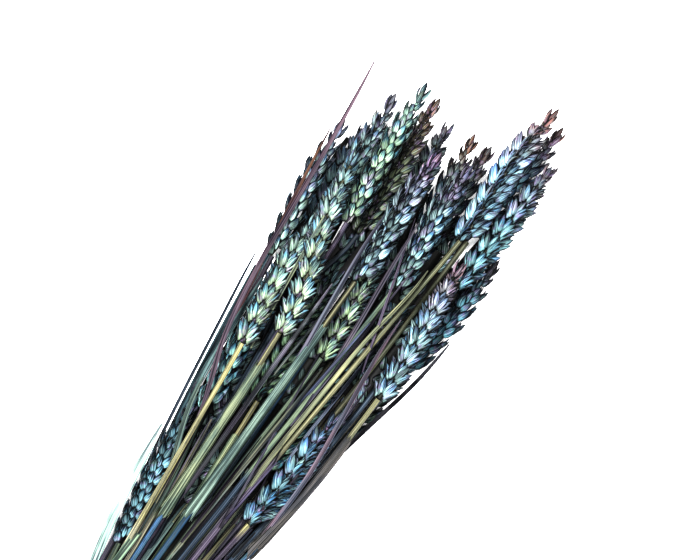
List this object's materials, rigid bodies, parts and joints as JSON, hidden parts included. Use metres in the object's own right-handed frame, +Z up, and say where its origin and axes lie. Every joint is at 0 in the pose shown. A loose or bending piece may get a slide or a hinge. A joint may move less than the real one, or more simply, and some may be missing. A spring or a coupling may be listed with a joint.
{
  "type": "bunch of wheat ears",
  "caption": "Lying bunch of dyed, dried wheat ears on straw stems with narrow leaf blades, held by a raffia tie.",
  "frame": {"origin": "middle of the bunch's bounding box, on the surface that it lies on", "axes": "+X along the bunch from the cut stems to the ears' tips, +Z up"},
  "size_m": [0.474, 0.093, 0.049],
  "materials": {
    "scales": "dyed, dry, satin",
    "straw": "dyed, dry, satin",
    "raffia": "dry fibre, matt"
  },
  "bodies": {
    "root": {"ear_01": "scales", "ear_02": "scales", "ear_03": "scales", "ear_04": "scales", "ear_05": "scales", "ear_06": "scales", "ear_07": "scales", "ear_08": "scales", "ear_09": "scales", "ear_10": "scales", "ear_11": "scales", "ear_12": "scales", "ear_13": "scales", "ear_14": "scales", "ear_15": "scales", "ear_16": "scales", "ear_17": "scales", "ear_18": "scales", "ear_19": "scales", "ear_20": "scales", "ear_21": "scales", "ear_22": "scales", "ear_23": "scales", "ear_24": "scales", "ear_25": "scales", "ear_26": "scales", "ear_27": "scales", "ear_28": "scales", "ear_29": "scales", "stem_01": "straw", "stem_02": "straw", "stem_03": "straw", "stem_04": "straw", "stem_05": "straw", "stem_06": "straw", "stem_07": "straw", "stem_08": "straw", "stem_09": "straw", "stem_10": "straw", "stem_11": "straw", "stem_12": "straw", "stem_13": "straw", "stem_14": "straw", "stem_15": "straw", "stem_16": "straw", "stem_17": "straw", "stem_18": "straw", "stem_19": "straw", "stem_20": "straw", "stem_21": "straw", "stem_22": "straw", "stem_23": "straw", "stem_24": "straw", "stem_25": "straw", "stem_26": "straw", "stem_27": "straw", "stem_28": "straw", "stem_29": "straw", "tie": "raffia"}
  },
  "joints": []
}
